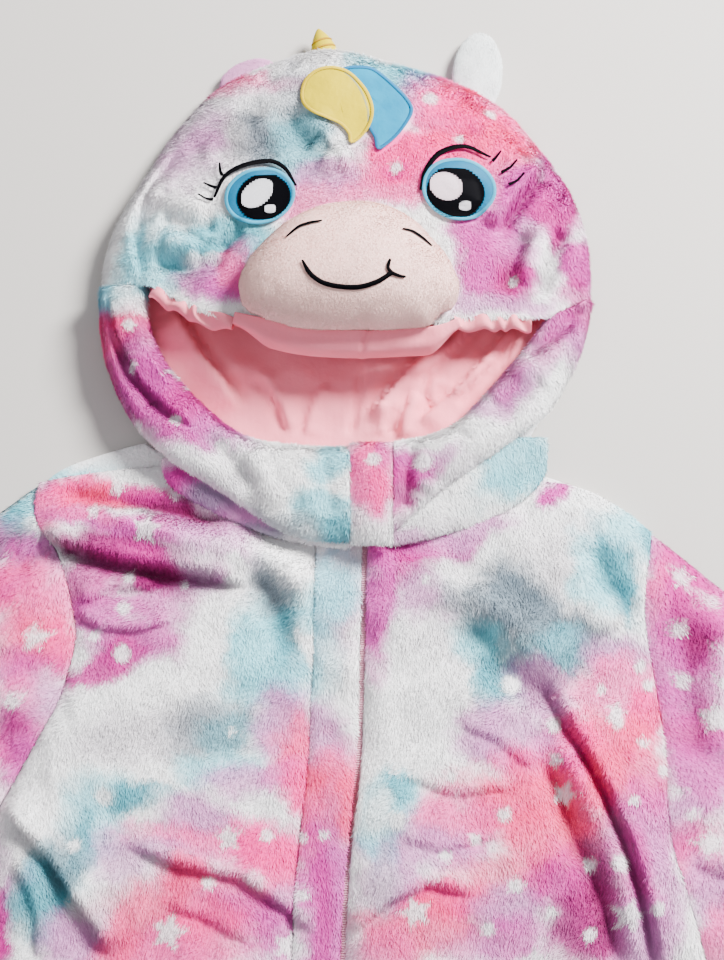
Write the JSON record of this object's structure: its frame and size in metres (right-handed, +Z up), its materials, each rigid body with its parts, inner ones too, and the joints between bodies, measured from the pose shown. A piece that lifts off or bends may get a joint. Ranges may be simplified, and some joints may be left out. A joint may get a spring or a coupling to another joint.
{
  "type": "unicorn onesie",
  "caption": "Child's one-piece plush unicorn costume laid flat on its back, with a padded-muzzle hood, zip front, sleeves and legs.",
  "frame": {"origin": "bottom centre of the laid-out garment's box, on the surface it lies on", "axes": "+X to the viewer's right (the wearer's left), +Y towards the crown of the hood, +Z up off the surface"},
  "size_m": [0.928, 1.3874, 0.0883],
  "materials": {
    "plush": "tie-dyed flannel plush, pink, magenta, aqua and white with small white stars and dots, short deep pile",
    "ear_plush": "flannel plush, stuffed ears",
    "lining": "thin pink knitted lining, matt, puckered along its seams",
    "muzzle_plush": "very short beige-pink velour over soft filling",
    "satin_yellow": "yellow satin with satin-stitched edge",
    "satin_blue": "blue satin with satin-stitched edge",
    "satin_black": "black satin stitch",
    "satin_white": "white satin stitch",
    "thread_black": "black embroidery thread",
    "zip_tape": "dusty pink woven zip tape with nylon coil",
    "zip_metal": "painted zip slider, dusty pink"
  },
  "bodies": {
    "root": {"back_left": "plush", "back_right": "plush", "front_left": "plush", "front_right": "plush", "sleeve_left": "plush", "sleeve_right": "plush", "zip_placket": "plush", "neck_flap": "plush", "hood_back": "plush", "hood_face": "plush", "rim_left": "plush", "rim_right": "plush", "neck_left": "plush", "neck_right": "plush", "ear_left": "ear_plush", "ear_right": "ear_plush", "hood_lining": "lining", "face_lining": "lining", "brim_lining_left": "lining", "brim_lining_right": "lining", "muzzle_under": "lining", "muzzle": "muzzle_plush", "horn": "satin_yellow", "forelock_yellow": "satin_yellow", "forelock_blue": "satin_blue", "eye_left_iris": "satin_blue", "eye_left_pupil": "satin_black", "eye_left_glint_big": "satin_white", "eye_left_glint_small": "satin_white", "eye_left_lid": "thread_black", "eye_left_lash_1": "thread_black", "eye_left_lash_2": "thread_black", "eye_left_lash_3": "thread_black", "eye_right_iris": "satin_blue", "eye_right_pupil": "satin_black", "eye_right_glint_big": "satin_white", "eye_right_glint_small": "satin_white", "eye_right_lid": "thread_black", "eye_right_lash_1": "thread_black", "eye_right_lash_2": "thread_black", "eye_right_lash_3": "thread_black", "nostril_left": "thread_black", "nostril_right": "thread_black", "mouth": "thread_black", "mouth_tick": "thread_black", "zip_tape": "zip_tape", "zip_slider": "zip_metal"}
  },
  "joints": []
}
